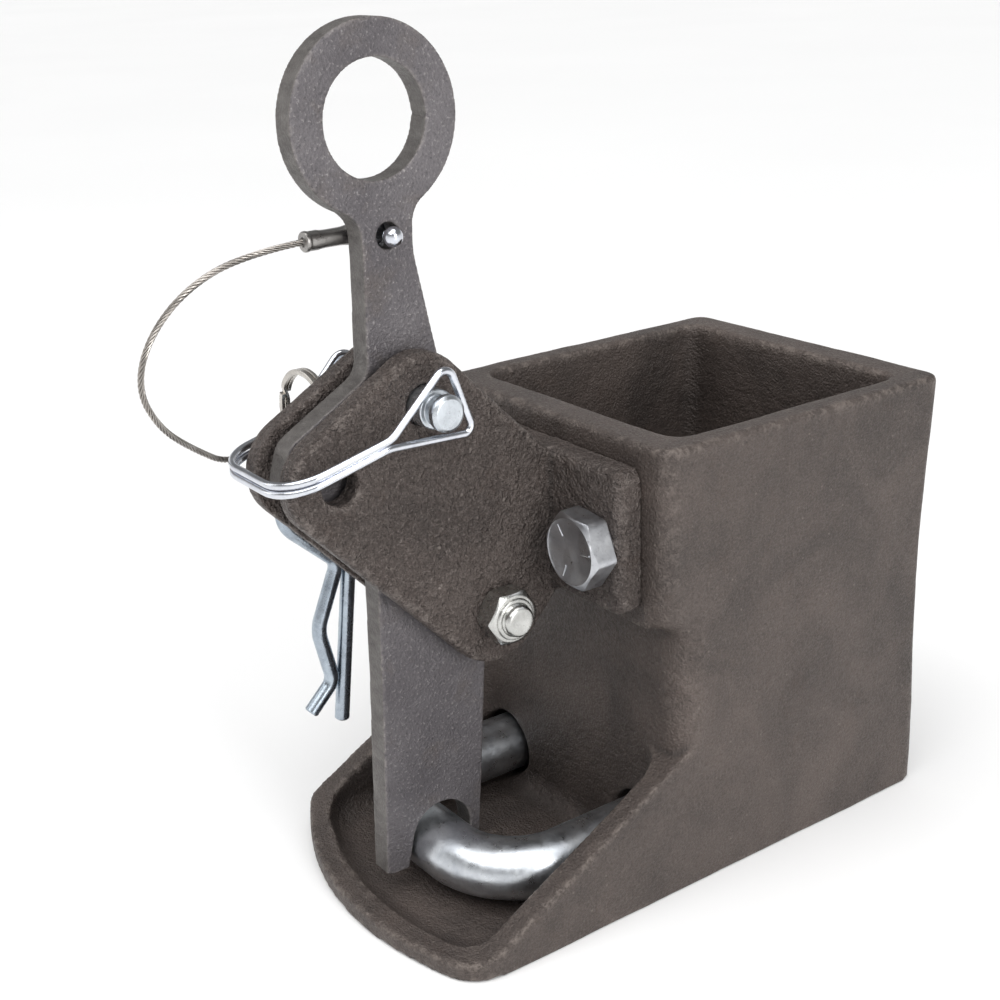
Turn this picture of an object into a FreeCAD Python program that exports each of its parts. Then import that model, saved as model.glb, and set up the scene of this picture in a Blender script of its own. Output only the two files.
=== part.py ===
import FreeCAD, Part
import math
import os

# Square-socket gooseneck trailer coupler. Millimetres, +Z up, -Y is the front,
# origin on the ball's axis at the coupler's underside.

# Cast housing
BODY_WIDTH = 122.4
BODY_DEPTH = 130.4
BODY_HEIGHT = 161.3
CORNER_RADIUS = 6.0
SOCKET_SIZE = 102.3
SOCKET_CORNER = 6.0
SOCKET_FLOOR_Z = 72.0
FRONT_WALL = 13.4
LOWER_FACE_Y = -57.4
LOWER_CORNER_RADIUS = 9.0
PAD_BOTTOM_Z = 98.0
RIM_EDGE_RADIUS = 2.2

# Ball cavity, for a ball of 58.7 mm
BALL_CENTRE_Z = 28.5
CAVITY_RADIUS = 30.2
FLARE_RADIUS = 35.0
FLARE_DEPTH = 6.0

# Scoop in front of the housing
SCOOP_CENTRE_X = 9.0
SCOOP_CENTRE_Y = -31.3
SCOOP_FRONT_RADIUS = 124.0
SCOOP_RIGHT_CORNER = 15.0
SCOOP_LEFT_CORNER = 8.0
SCOOP_WALL = 9.0
SCOOP_LIP = 7.5
SCOOP_FLOOR = 2.6
SCOOP_LIP_Z = 6.5
SCOOP_RIM_TOP_Z = 57.0
SCOOP_RIM_RIGHT_Y = -138.0
SCOOP_RIM_LEFT_Y = -141.5
SCOOP_RIM_BEND = 30.0
PAN_LEFT_CORNER = 16.0
PAN_CORNER = 11.0
PAN_FLOOR_RADIUS = 8.0

# Locking yoke: a bent round bar
ROD_RADIUS = 11.1
LEG_SPACING = 77.0
LEG_Z = 15.0
YOKE_FRONT_Y = -118.0
YOKE_BEND_RADIUS = 28.0
LEG_TIP_Y = -15.0
LEG_BORE_RADIUS = 13.1
LEG_BORE_START_Y = -74.0
LEG_BORE_END_Y = 29.0
LEG_TIP_CHAMFER = 1.6

# Handle bracket: two ears on one flange
EAR_INNER_X = 7.0
EAR_OUTER_X = 14.9
FLANGE_THICKNESS = 9.0
FLANGE_HALF_WIDTH = 49.6
FLANGE_BOTTOM_Z = 103.5
FLANGE_TOP_Z = 153.5
FLANGE_CORNER_RADIUS = 5.0
FLANGE_EDGE_RADIUS = 3.2
EAR_EDGE_RADIUS = 2.2
EAR_PIVOT_RADIUS = 18.6
EAR_PIN_RADIUS = 16.2
EAR_FRONT_RADIUS = 17.2
EAR_BACK_Y = -66.0
EAR_BOTTOM_Y = -71.5
EAR_TOP_Y = -75.6
BRACKET_BOLT_X = 36.0
BRACKET_BOLT_Z = 126.0
BRACKET_BOLT_RADIUS = 7.9
BRACKET_BOLT_FLATS = 23.8
BRACKET_BOLT_HEAD = 9.8
WASHER_FACE = 0.5
WASHER_FACE_INSET = 0.6
BOLT_END_GAP = 0.8
THREAD_CLEARANCE = 0.05
BOLT_CLEARANCE = 0.3
HEX_FACE_INSET = 0.2
HEX_CHAMFER_ANGLE = 30.0

# Handle, its pivot and the two pin holes, as (y, z)
PIVOT = (-97.0, 102.0)
PIN_HOLE = (-122.2, 178.3)
FRONT_HOLE = (-153.6, 159.3)
PIVOT_RADIUS = 5.5
PIVOT_FLATS = 17.5
PIVOT_HEAD = 7.2
PIVOT_NUT = 9.6
PIVOT_END = 12.4
PIVOT_END_CHAMFER = 1.0
PIVOT_CLEARANCE = 0.05
PIN_CLEARANCE = 0.07
BUSHING_CLEARANCE = 0.06
BUSHING_RADIUS = 9.0
WASHER_RADIUS = 13.0
WASHER_GAP = 0.15
HANDLE_THICKNESS = 8.4
RING_CENTRE = (-127.2, 262.8)
RING_OUTER = 28.4
RING_INNER = 17.4
THROAT_RADIUS = 9.0
FORK_HALF_WIDTH = 11.9
FORK_TOP_RADIUS = 85.0
FORK_TIP_REACH = 100.3
FORK_TIP_CLEARANCE = 0.4
NOTCH_CLEARANCE = 0.6
TETHER_HOLE = (-125.2, 229.0)
TETHER_HOLE_RADIUS = 4.0

# Lock pin and its sprung wire
PIN_RADIUS = 6.35
PIN_GROOVE_RADIUS = 4.6
PIN_TIP_RADIUS = 5.8
WIRE_RADIUS = 1.25
WIRE_NEAR_X = 23.4
WIRE_FAR_X = -26.5
WIRE_GAP = 0.1
WIRE_BEND = (21.0, -175.2, 162.4)
GROOVE_HALF = 1.8
PIN_TIP_LENGTH = 3.2
PIN_TIP_CHAMFER = 0.9

# Split ring, hairpin clip and lanyard
SPLIT_RING_RADIUS = 15.0
SPLIT_RING_BAND = 3.6
SPLIT_RING_THICKNESS = 2.0
SMALL_EDGE_RADIUS = 0.5
SPLIT_RING_X = -31.4
SPLIT_RING_Y = -137.8
SPLIT_RING_TOP_Z = 181.2
STUD_RADIUS = 1.8
STUD_BALL_RADIUS = 3.1
STUD_COLLAR_RADIUS = 5.2
STUD_COLLAR = (0.2, 1.4)
STUD_BALL_OFFSET = 2.6
SLEEVE_X = -9.0
SLEEVE_RADIUS = 3.2
SLEEVE_GAP = 0.1
SLEEVE_OVERHANG = 2.6
SLEEVE_BORE_CLEARANCE = 0.05
HAIRPIN_RADIUS = 2.6
HAIRPIN_X = -31.0
CABLE_RADIUS = 1.0
CABLE_ROUTE = [
    (-9.0, -147.0, 228.4),
    (-9.8, -166.0, 227.4),
    (-11.2, -184.8, 220.4),
    (-12.8, -197.8, 207.2),
    (-14.8, -201.8, 192.5),
    (-18.6, -194.8, 178.7),
    (-24.4, -183.0, 168.4),
    (-33.2, -165.3, 156.3),
    (-38.8, -150.5, 158.0),
]
FERRULE_RADIUS = 2.3
FERRULE_LENGTH = 9.0
EYE_RADIUS = 5.1

HALF_WIDTH = BODY_WIDTH / 2
HALF_DEPTH = BODY_DEPTH / 2
X_AXIS = FreeCAD.Vector(1, 0, 0)
Y_AXIS = FreeCAD.Vector(0, 1, 0)
Z_AXIS = FreeCAD.Vector(0, 0, 1)


def vec(x, y, z):
    return FreeCAD.Vector(x, y, z)


def box(x0, x1, y0, y1, z0, z1):
    return Part.makeBox(x1 - x0, y1 - y0, z1 - z0, vec(x0, y0, z0))


def rod_x(x0, x1, centre, radius):
    """Round bar along X at the (y, z) centre."""
    return Part.makeCylinder(radius, x1 - x0, vec(x0, centre[0], centre[1]), X_AXIS)


def rod_y(y0, y1, x, z, radius):
    """Round bar along Y."""
    return Part.makeCylinder(radius, y1 - y0, vec(x, y0, z), Y_AXIS)


def corner_arc(before, corner, after, radius):
    """Start, middle and end of the arc that rounds a corner."""
    back = (before - corner).normalize()
    ahead = (after - corner).normalize()
    half_turn = (math.pi - back.getAngle(ahead)) / 2
    reach = radius * math.tan(half_turn)
    bisector = (back + ahead).normalize()
    centre = corner + bisector * (radius / math.cos(half_turn))
    return corner + back * reach, centre - bisector * radius, corner + ahead * reach


def rounded_wire(points, radii, closed=False):
    """Straight runs joined by tangent arcs; a radius of 0 leaves a sharp corner."""
    count = len(points)
    corners = []
    for index in range(count):
        inner = closed or 0 < index < count - 1
        if inner and radii[index] > 0:
            before = points[index - 1]
            after = points[(index + 1) % count]
            corners.append(corner_arc(before, points[index], after, radii[index]))
        else:
            corners.append((points[index], None, points[index]))
    edges = []
    for index in range(count):
        start, middle, end = corners[index]
        if middle is not None:
            edges.append(Part.Arc(start, middle, end).toShape())
        if closed or index < count - 1:
            following = corners[(index + 1) % count][0]
            if end.distanceToPoint(following) > 1e-6:
                edges.append(Part.LineSegment(end, following).toShape())
    return Part.Wire(edges)


def plate_yz(x0, x1, outline):
    """Flat plate between two X positions from (y, z, corner radius) points."""
    points = [vec(x0, y, z) for y, z, _ in outline]
    radii = [radius for _, _, radius in outline]
    face = Part.Face(rounded_wire(points, radii, closed=True))
    return face.extrude(vec(x1 - x0, 0, 0))


def bent_bar(points, radii, bar_radius):
    """Round bar swept along straight runs and tangent arcs."""
    path = rounded_wire(points, radii)
    direction = (points[1] - points[0]).normalize()
    circle = Part.Wire(Part.makeCircle(bar_radius, points[0], direction))
    return path.makePipeShell([circle], True, False), path


def edges_where(shape, test):
    """Edges whose end points and middle all pass the test."""
    found = []
    for edge in shape.Edges:
        middle = edge.valueAt((edge.FirstParameter + edge.LastParameter) / 2)
        places = [vertex.Point for vertex in edge.Vertexes] + [middle]
        if all(test(place) for place in places):
            found.append(edge)
    return found


def on_plane(axis, value):
    """Test that a point lies on the plane where one coordinate has a value."""
    return lambda place: abs(getattr(place, axis) - value) < 0.01


def rounded_block(x0, x1, y0, y1, z0, z1, radius):
    """Block with rounded vertical edges."""
    block = box(x0, x1, y0, y1, z0, z1)
    upright = [edge for edge in block.Edges if abs(edge.tangentAt(0).z) > 0.9]
    return block.makeFillet(radius, upright)


def hex_bar(centre, across_flats, start, length, axis):
    """Hexagonal bar with its end corners chamfered as on a bolt head."""
    corner = across_flats / math.sqrt(3)
    points = []
    for step in range(7):
        angle = math.radians(60 * step)
        points.append(vec(corner * math.cos(angle), corner * math.sin(angle), 0))
    prism = Part.Face(Part.makePolygon(points)).extrude(vec(0, 0, length))
    chamfer = corner - across_flats / 2 + HEX_FACE_INSET
    drop = chamfer * math.tan(math.radians(HEX_CHAMFER_ANGLE))
    base = Part.makeCylinder(corner, length - drop)
    cone = Part.makeCone(corner, corner - chamfer, drop, vec(0, 0, length - drop))
    head = prism.common(base.fuse(cone))
    turned = FreeCAD.Rotation(Z_AXIS, axis)
    head.Placement = FreeCAD.Placement(centre + axis * start, turned)
    return head


def bowed_block(half_width, front_radius, back_y, low_z):
    """Upright block whose front is bowed about the scoop's centre."""
    front = []
    for x in (-half_width, SCOOP_CENTRE_X, half_width):
        reach = math.sqrt(front_radius**2 - (x - SCOOP_CENTRE_X) ** 2)
        front.append(vec(x, SCOOP_CENTRE_Y - reach, low_z))
    back = [vec(half_width, back_y, low_z), vec(-half_width, back_y, low_z)]
    sides = Part.makePolygon([front[2]] + back + [front[0]])
    outline = Part.Wire([Part.Arc(*front).toShape()] + sides.Edges)
    return Part.Face(outline).extrude(vec(0, 0, PAD_BOTTOM_Z - low_z))


def round_corners(block, radius, left, front):
    """Round the block's upright edges on one side, at its front or its back."""
    chosen = []
    for edge in block.Edges:
        place = edge.CenterOfMass
        upright = abs(edge.tangentAt(edge.FirstParameter).z) > 0.9
        if upright and (place.x < 0) == left and (place.y < PIVOT[0]) == front:
            chosen.append(edge)
    return block.makeFillet(radius, chosen)


def scoop_shell():
    """Outer form of the scoop, its rim still uncut."""
    back_y = LOWER_FACE_Y + LOWER_CORNER_RADIUS + 1
    form = bowed_block(HALF_WIDTH, SCOOP_FRONT_RADIUS, back_y, 0)
    form = round_corners(form, SCOOP_LEFT_CORNER, left=True, front=True)
    return round_corners(form, SCOOP_RIGHT_CORNER, left=False, front=True)


def rim_cutter(side, rim_y):
    """Space over one side of the scoop's sloping rim."""
    clear_y = SCOOP_CENTRE_Y - SCOOP_FRONT_RADIUS - 10
    rim_end_y = LOWER_FACE_Y + LOWER_CORNER_RADIUS + 2
    points = [
        vec(0, clear_y, SCOOP_LIP_Z),
        vec(0, rim_y, SCOOP_LIP_Z),
        vec(0, rim_end_y, SCOOP_RIM_TOP_Z),
        vec(0, rim_end_y, PAD_BOTTOM_Z + 5),
        vec(0, clear_y, PAD_BOTTOM_Z + 5),
    ]
    profile = Part.Face(rounded_wire(points, [0, SCOOP_RIM_BEND, 0, 0, 0], closed=True))
    return profile.extrude(vec(side * (HALF_WIDTH + 10), 0, 0))


def pan_cutter():
    """Hollow of the scoop, with a curved floor edge."""
    inner = HALF_WIDTH - SCOOP_WALL
    pan = bowed_block(inner, SCOOP_FRONT_RADIUS - SCOOP_LIP, LOWER_FACE_Y, SCOOP_FLOOR)
    pan = round_corners(pan, PAN_LEFT_CORNER, left=True, front=True)
    pan = round_corners(pan, PAN_CORNER, left=False, front=True)
    for left in (True, False):
        pan = round_corners(pan, PAN_CORNER, left, front=False)
    return pan.makeFillet(PAN_FLOOR_RADIUS, edges_where(pan, on_plane("z", SCOOP_FLOOR)))


def fork_relief():
    """Shallow hollow in the scoop's floor that the handle's fork swings through."""
    half = HANDLE_THICKNESS / 2 + 2
    swept = rod_x(-half, half, PIVOT, FORK_TIP_REACH + FORK_TIP_CLEARANCE)
    return swept.common(box(-half, half, YOKE_FRONT_Y, LOWER_FACE_Y, 0, LEG_Z))


def on_lower_corner(place):
    """Test that a point lies where the recessed lower face meets a side."""
    return abs(abs(place.x) - HALF_WIDTH) < 0.01 and abs(place.y - LOWER_FACE_Y) < 0.01


def coupler_housing():
    body = rounded_block(
        -HALF_WIDTH, HALF_WIDTH, -HALF_DEPTH, HALF_DEPTH, 0, BODY_HEIGHT, CORNER_RADIUS
    )
    recess_reach = HALF_WIDTH + 1
    recess = box(-recess_reach, recess_reach, -HALF_DEPTH - 1, LOWER_FACE_Y, -1, PAD_BOTTOM_Z)
    body = body.cut(recess)
    body = body.makeFillet(LOWER_CORNER_RADIUS, edges_where(body, on_lower_corner))
    scoop = scoop_shell().cut(pan_cutter())
    scoop = scoop.cut([rim_cutter(-1, SCOOP_RIM_LEFT_Y), rim_cutter(1, SCOOP_RIM_RIGHT_Y)])
    body = body.fuse(scoop).removeSplitter()

    socket_front = -HALF_DEPTH + FRONT_WALL
    socket = rounded_block(
        -SOCKET_SIZE / 2,
        SOCKET_SIZE / 2,
        socket_front,
        socket_front + SOCKET_SIZE,
        SOCKET_FLOOR_Z,
        BODY_HEIGHT + 5,
        SOCKET_CORNER,
    )
    body = body.cut(socket)
    top = [edge for edge in body.Edges if on_plane("z", BODY_HEIGHT)(edge.CenterOfMass)]
    body = body.makeFillet(RIM_EDGE_RADIUS, top)

    cavity = Part.makeCylinder(CAVITY_RADIUS, BALL_CENTRE_Z + 1, vec(0, 0, -1))
    dome = Part.makeSphere(CAVITY_RADIUS, vec(0, 0, BALL_CENTRE_Z))
    flare = Part.makeCone(FLARE_RADIUS, CAVITY_RADIUS, FLARE_DEPTH)
    body = body.cut([cavity, dome, flare])
    for side in (-1, 1):
        leg_x = side * LEG_SPACING / 2
        body = body.cut(rod_y(LEG_BORE_START_Y, LEG_BORE_END_Y, leg_x, LEG_Z, LEG_BORE_RADIUS))
        bolt_x = side * BRACKET_BOLT_X
        bolt_hole = BRACKET_BOLT_RADIUS + THREAD_CLEARANCE
        body = body.cut(rod_y(-HALF_DEPTH - 1, socket_front + 1, bolt_x, BRACKET_BOLT_Z, bolt_hole))
    return body.cut(fork_relief())


def belt_wire(x, circles):
    """Outline that runs round (y, z, radius) circles, given anticlockwise seen from +X."""
    contacts = []
    count = len(circles)
    for index in range(count):
        start_y, start_z, start_radius = circles[index]
        end_y, end_z, end_radius = circles[(index + 1) % count]
        along = vec(0, end_y - start_y, end_z - start_z)
        lean = (start_radius - end_radius) / along.Length
        along.normalize()
        outward = vec(0, along.z, -along.y) * math.sqrt(1 - lean**2) + along * lean
        start = vec(x, start_y, start_z) + outward * start_radius
        end = vec(x, end_y, end_z) + outward * end_radius
        contacts.append((start, end, outward))
    edges = []
    for index in range(count):
        start, end, outward = contacts[index]
        before = contacts[index - 1]
        centre_y, centre_z, radius = circles[index]
        if radius > 0:
            middle = vec(x, centre_y, centre_z) + (before[2] + outward).normalize() * radius
            edges.append(Part.Arc(before[1], middle, start).toShape())
        edges.append(Part.LineSegment(start, end).toShape())
    return Part.Wire(edges)


def ear_plate(low_x, high_x):
    """Ear rounded about both pin holes and the pivot, with a straight back."""
    circles = [
        (*PIVOT, EAR_PIVOT_RADIUS),
        (EAR_BOTTOM_Y, FLANGE_BOTTOM_Z - 1, 0),
        (EAR_BACK_Y, FLANGE_BOTTOM_Z - 1, 0),
        (EAR_BACK_Y, FLANGE_TOP_Z + 0.5, 0),
        (EAR_TOP_Y, FLANGE_TOP_Z + 0.5, 0),
        (*PIN_HOLE, EAR_PIN_RADIUS),
        (*FRONT_HOLE, EAR_FRONT_RADIUS),
    ]
    return Part.Face(belt_wire(low_x, circles)).extrude(vec(high_x - low_x, 0, 0))


def handle_bracket():
    flange_front = -HALF_DEPTH - FLANGE_THICKNESS
    flange = box(
        -FLANGE_HALF_WIDTH,
        FLANGE_HALF_WIDTH,
        flange_front,
        -HALF_DEPTH,
        FLANGE_BOTTOM_Z,
        FLANGE_TOP_Z,
    )
    along_y = [edge for edge in flange.Edges if abs(edge.tangentAt(0).y) > 0.9]
    flange = flange.makeFillet(FLANGE_CORNER_RADIUS, along_y)
    flange = flange.makeFillet(FLANGE_EDGE_RADIUS, edges_where(flange, on_plane("y", flange_front)))
    ears = []
    for side in (-1, 1):
        low, high = sorted((side * EAR_INNER_X, side * EAR_OUTER_X))
        ear = ear_plate(low, high)
        outer = edges_where(ear, on_plane("x", side * EAR_OUTER_X))
        outer = [edge for edge in outer if edge.CenterOfMass.y < flange_front]
        ears.append(ear.makeFillet(EAR_EDGE_RADIUS, outer))
    body = flange.fuse(ears)
    body = body.common(box(-90, 90, -200, -HALF_DEPTH, 0, 300)).removeSplitter()
    span = EAR_OUTER_X + 1
    body = body.cut(rod_x(-span, span, PIN_HOLE, PIN_RADIUS + PIN_CLEARANCE))
    body = body.cut(rod_x(-span, span, FRONT_HOLE, PIN_RADIUS + PIN_CLEARANCE))
    body = body.cut(rod_x(-span, span, PIVOT, PIVOT_RADIUS + PIVOT_CLEARANCE))
    for side in (-1, 1):
        bolt_x = side * BRACKET_BOLT_X
        bolt_hole = BRACKET_BOLT_RADIUS + BOLT_CLEARANCE
        body = body.cut(rod_y(flange_front - 1, -HALF_DEPTH + 1, bolt_x, BRACKET_BOLT_Z, bolt_hole))
    return body


def bracket_bolt(side):
    seat = vec(side * BRACKET_BOLT_X, -HALF_DEPTH - FLANGE_THICKNESS, BRACKET_BOLT_Z)
    washer_face = Part.makeCylinder(BRACKET_BOLT_FLATS / 2 - WASHER_FACE_INSET, WASHER_FACE, seat, -Y_AXIS)
    head = hex_bar(seat, BRACKET_BOLT_FLATS, WASHER_FACE, BRACKET_BOLT_HEAD - WASHER_FACE, -Y_AXIS)
    length = FLANGE_THICKNESS + FRONT_WALL - BOLT_END_GAP
    shank = Part.makeCylinder(BRACKET_BOLT_RADIUS, length, seat, Y_AXIS)
    return washer_face.fuse([head, shank]).removeSplitter()


def pivot_bolt():
    centre = vec(-EAR_OUTER_X, PIVOT[0], PIVOT[1])
    head = hex_bar(centre, PIVOT_FLATS, 0, PIVOT_HEAD, -X_AXIS)
    shank = rod_x(-EAR_OUTER_X, EAR_OUTER_X + PIVOT_END, PIVOT, PIVOT_RADIUS)
    tip = edges_where(shank, on_plane("x", EAR_OUTER_X + PIVOT_END))
    return head.fuse(shank.makeChamfer(PIVOT_END_CHAMFER, tip)).removeSplitter()


def pivot_nut():
    centre = vec(EAR_OUTER_X, PIVOT[0], PIVOT[1])
    body = hex_bar(centre, PIVOT_FLATS, 0, PIVOT_NUT, X_AXIS)
    return body.cut(rod_x(EAR_OUTER_X - 1, EAR_OUTER_X + PIVOT_NUT + 1, PIVOT, PIVOT_RADIUS))


def pivot_bushing():
    sleeve = rod_x(-EAR_INNER_X, EAR_INNER_X, PIVOT, BUSHING_RADIUS)
    return sleeve.cut(rod_x(-EAR_INNER_X - 1, EAR_INNER_X + 1, PIVOT, PIVOT_RADIUS + PIVOT_CLEARANCE))


def thrust_washer(side):
    face = HANDLE_THICKNESS / 2 + WASHER_GAP
    low, high = sorted((side * face, side * (EAR_INNER_X - PIVOT_CLEARANCE)))
    disc = rod_x(low, high, PIVOT, WASHER_RADIUS)
    return disc.cut(rod_x(low - 1, high + 1, PIVOT, BUSHING_RADIUS + PIVOT_CLEARANCE))


def handle_outline():
    """Handle below its ring as (y, z, corner radius)."""
    return [
        (-134.6, 246.0, 0),
        (-134.2, 222.0, 30),
        (-135.4, 187.4, 7),
        (-164.4, 171.0, 9),
        (-168.6, 157.6, 9),
        (-136.6, 119.0, 8),
        (-137.4, 84.0, 0),
        (-140.3, 10.4, 0.8),
        (-101.4, 10.4, 3),
        (-95.6, 84.0, 12),
        (-80.6, 92.0, 13),
        (-81.4, 114.0, 16),
        (-104.6, 166.0, 20),
        (-116.6, 224.0, 30),
        (-115.4, 246.0, 0),
    ]


def fork_slot():
    """Slot for the yoke, open at the handle's lower end and aimed at the pivot."""
    reach_y = YOKE_FRONT_Y - PIVOT[0]
    reach_z = LEG_Z - PIVOT[1]
    reach = math.hypot(reach_y, reach_z)
    down = vec(0, reach_y / reach, reach_z / reach)
    across = vec(0, -down.z, down.y) * FORK_HALF_WIDTH
    half = HANDLE_THICKNESS / 2 + 1
    top = vec(-half, PIVOT[0], PIVOT[1]) + down * FORK_TOP_RADIUS
    low = top + down * 40
    corners = [top + across, low + across, low - across, top - across, top + across]
    face = Part.Face(Part.makePolygon(corners))
    round_top = rod_x(-half, half, (top.y, top.z), FORK_HALF_WIDTH)
    return face.extrude(vec(2 * half, 0, 0)).fuse(round_top)


def fork_tip_trim():
    """What rounds the fork's tips about the pivot, so that they clear the scoop's floor."""
    half = HANDLE_THICKNESS / 2 + 1
    reach = FORK_TIP_REACH
    below = box(-half, half, PIVOT[0] - reach, PIVOT[0] + reach, 0, PIVOT[1] / 2)
    return below.cut(rod_x(-half, half, PIVOT, reach))


def pin_notch():
    """Arc slot round the pivot that lets the handle swing with the pin in place."""
    half = HANDLE_THICKNESS / 2 + 1
    offset_y = PIN_HOLE[0] - PIVOT[0]
    offset_z = PIN_HOLE[1] - PIVOT[1]
    swing_radius = math.hypot(offset_y, offset_z)
    slot_half = PIN_RADIUS + NOTCH_CLEARANCE
    band = rod_x(-half, half, PIVOT, swing_radius + slot_half)
    band = band.cut(rod_x(-half - 1, half + 1, PIVOT, swing_radius - slot_half))
    pivot = vec(-half, PIVOT[0], PIVOT[1])
    toward_pin = vec(0, offset_y, offset_z) * 1.5
    sector = Part.makePolygon([pivot, pivot + toward_pin, pivot + vec(0, 60, 120), pivot])
    sector = Part.Face(sector).extrude(vec(2 * half, 0, 0))
    return band.common(sector).fuse(rod_x(-half, half, PIN_HOLE, slot_half))


def release_handle():
    half = HANDLE_THICKNESS / 2
    ring = rod_x(-half, half, RING_CENTRE, RING_OUTER)
    body = ring.fuse(plate_yz(-half, half, handle_outline())).removeSplitter()
    throat = []
    for edge in body.Edges:
        offset_y = edge.CenterOfMass.y - RING_CENTRE[0]
        offset_z = edge.CenterOfMass.z - RING_CENTRE[1]
        on_rim = abs(math.hypot(offset_y, offset_z) - RING_OUTER) < 0.05
        if on_rim and offset_z < -1 and abs(edge.tangentAt(edge.FirstParameter).x) > 0.9:
            throat.append(edge)
    body = body.makeFillet(THROAT_RADIUS, throat)
    body = body.cut(rod_x(-half - 1, half + 1, RING_CENTRE, RING_INNER))
    body = body.cut(rod_x(-half - 1, half + 1, PIVOT, BUSHING_RADIUS + BUSHING_CLEARANCE))
    body = body.cut(rod_x(-half - 1, half + 1, TETHER_HOLE, TETHER_HOLE_RADIUS))
    return body.cut([fork_slot(), pin_notch(), fork_tip_trim()])


def locking_yoke():
    leg_x = LEG_SPACING / 2
    points = [
        vec(-leg_x, LEG_TIP_Y, LEG_Z),
        vec(-leg_x, YOKE_FRONT_Y, LEG_Z),
        vec(leg_x, YOKE_FRONT_Y, LEG_Z),
        vec(leg_x, LEG_TIP_Y, LEG_Z),
    ]
    bar, _ = bent_bar(points, [0, YOKE_BEND_RADIUS, YOKE_BEND_RADIUS, 0], ROD_RADIUS)
    return bar.makeChamfer(LEG_TIP_CHAMFER, edges_where(bar, on_plane("y", LEG_TIP_Y)))


def lock_pin():
    near = WIRE_NEAR_X + GROOVE_HALF
    far = WIRE_FAR_X - GROOVE_HALF
    shank = rod_x(far + 2 * GROOVE_HALF, near - 2 * GROOVE_HALF, PIN_HOLE, PIN_RADIUS)
    neck = rod_x(far, near, PIN_HOLE, PIN_GROOVE_RADIUS)
    ends = []
    for low, face in ((near, near + PIN_TIP_LENGTH), (far - PIN_TIP_LENGTH, far - PIN_TIP_LENGTH)):
        end = rod_x(low, low + PIN_TIP_LENGTH, PIN_HOLE, PIN_TIP_RADIUS)
        ends.append(end.makeChamfer(PIN_TIP_CHAMFER, edges_where(end, on_plane("x", face))))
    return neck.fuse([shank] + ends).removeSplitter()


def lock_pin_wire():
    """One sprung wire, doubled round the front of the ears, looped round both pin ends."""
    gap = WIRE_RADIUS + WIRE_GAP
    near = WIRE_NEAR_X
    far = WIRE_FAR_X
    bend_x, bend_y, bend_z = WIRE_BEND
    points = [
        vec(far, -109.5, 170.1),
        vec(far, -110.9, 167.8),
        vec(far, -141.9, 167.1 - gap),
        vec(-bend_x, bend_y, bend_z - gap),
        vec(bend_x, bend_y, bend_z - gap),
        vec(near, -141.0, 171.9 - gap),
        vec(near, -110.2, 169.2),
        vec(near, -119.2, 193.0),
        vec(near, -140.0, 171.9 + gap),
        vec(bend_x, bend_y, bend_z + gap),
        vec(-bend_x, bend_y, bend_z + gap),
        vec(far, -145.8, 167.1 + gap),
        vec(far, -126.9, 188.3),
        vec(far, -111.5, 179.6),
    ]
    radii = [0, 2.6, 12, 14, 14, 10, 2.6, 3.4, 8, 14, 14, 6, 4.5, 0]
    return bent_bar(points, radii, WIRE_RADIUS)[0]


def split_ring_centre():
    """The ring hangs from its inner top, in a plane across Y."""
    drop = SPLIT_RING_RADIUS - SPLIT_RING_THICKNESS / 2
    return vec(SPLIT_RING_X, SPLIT_RING_Y, SPLIT_RING_TOP_Z - drop)


def split_ring():
    start = split_ring_centre() - Y_AXIS * (SPLIT_RING_BAND / 2)
    outer = SPLIT_RING_RADIUS + SPLIT_RING_THICKNESS / 2
    ring = Part.makeCylinder(outer, SPLIT_RING_BAND, start, Y_AXIS)
    ring = ring.cut(Part.makeCylinder(outer - SPLIT_RING_THICKNESS, SPLIT_RING_BAND, start, Y_AXIS))
    return ring.makeFillet(SMALL_EDGE_RADIUS, ring.Edges)


def hairpin_clip():
    outline = [
        (-134.0, 55.2, 0),
        (-121.3, 156.8, 13.4),
        (-149.9, 156.8, 13.4),
        (-150.4, 132.2, 10),
        (-131.1, 114.6, 5),
        (-140.8, 91.7, 13),
        (-136.3, 71.3, 6),
        (-146.2, 61.5, 0),
    ]
    points = [vec(HAIRPIN_X, y, z) for y, z, _ in outline]
    return bent_bar(points, [radius for _, _, radius in outline], HAIRPIN_RADIUS)[0]


def lanyard_ball_stud():
    """Stud with a ball at the handle's near face and a collar behind its far face."""
    half = HANDLE_THICKNESS / 2
    shank = rod_x(SLEEVE_X, half + 1, TETHER_HOLE, STUD_RADIUS)
    ball = Part.makeSphere(STUD_BALL_RADIUS, vec(half + STUD_BALL_OFFSET, TETHER_HOLE[0], TETHER_HOLE[1]))
    collar = rod_x(-half - STUD_COLLAR[1], -half - STUD_COLLAR[0], TETHER_HOLE, STUD_COLLAR_RADIUS)
    return shank.fuse([ball, collar]).removeSplitter()


def lanyard_sleeve():
    """Crimped sleeve on the stud's far end, which the cable leaves along -Y."""
    exit_y = CABLE_ROUTE[0][1] + SLEEVE_GAP
    barrel = rod_y(exit_y, TETHER_HOLE[0] + SLEEVE_OVERHANG, SLEEVE_X, CABLE_ROUTE[0][2], SLEEVE_RADIUS)
    barrel = barrel.makeFillet(SMALL_EDGE_RADIUS, barrel.Edges)
    bore = STUD_RADIUS + SLEEVE_BORE_CLEARANCE
    return barrel.cut(rod_x(SLEEVE_X, SLEEVE_X + SLEEVE_RADIUS + 1, TETHER_HOLE, bore))


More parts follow.
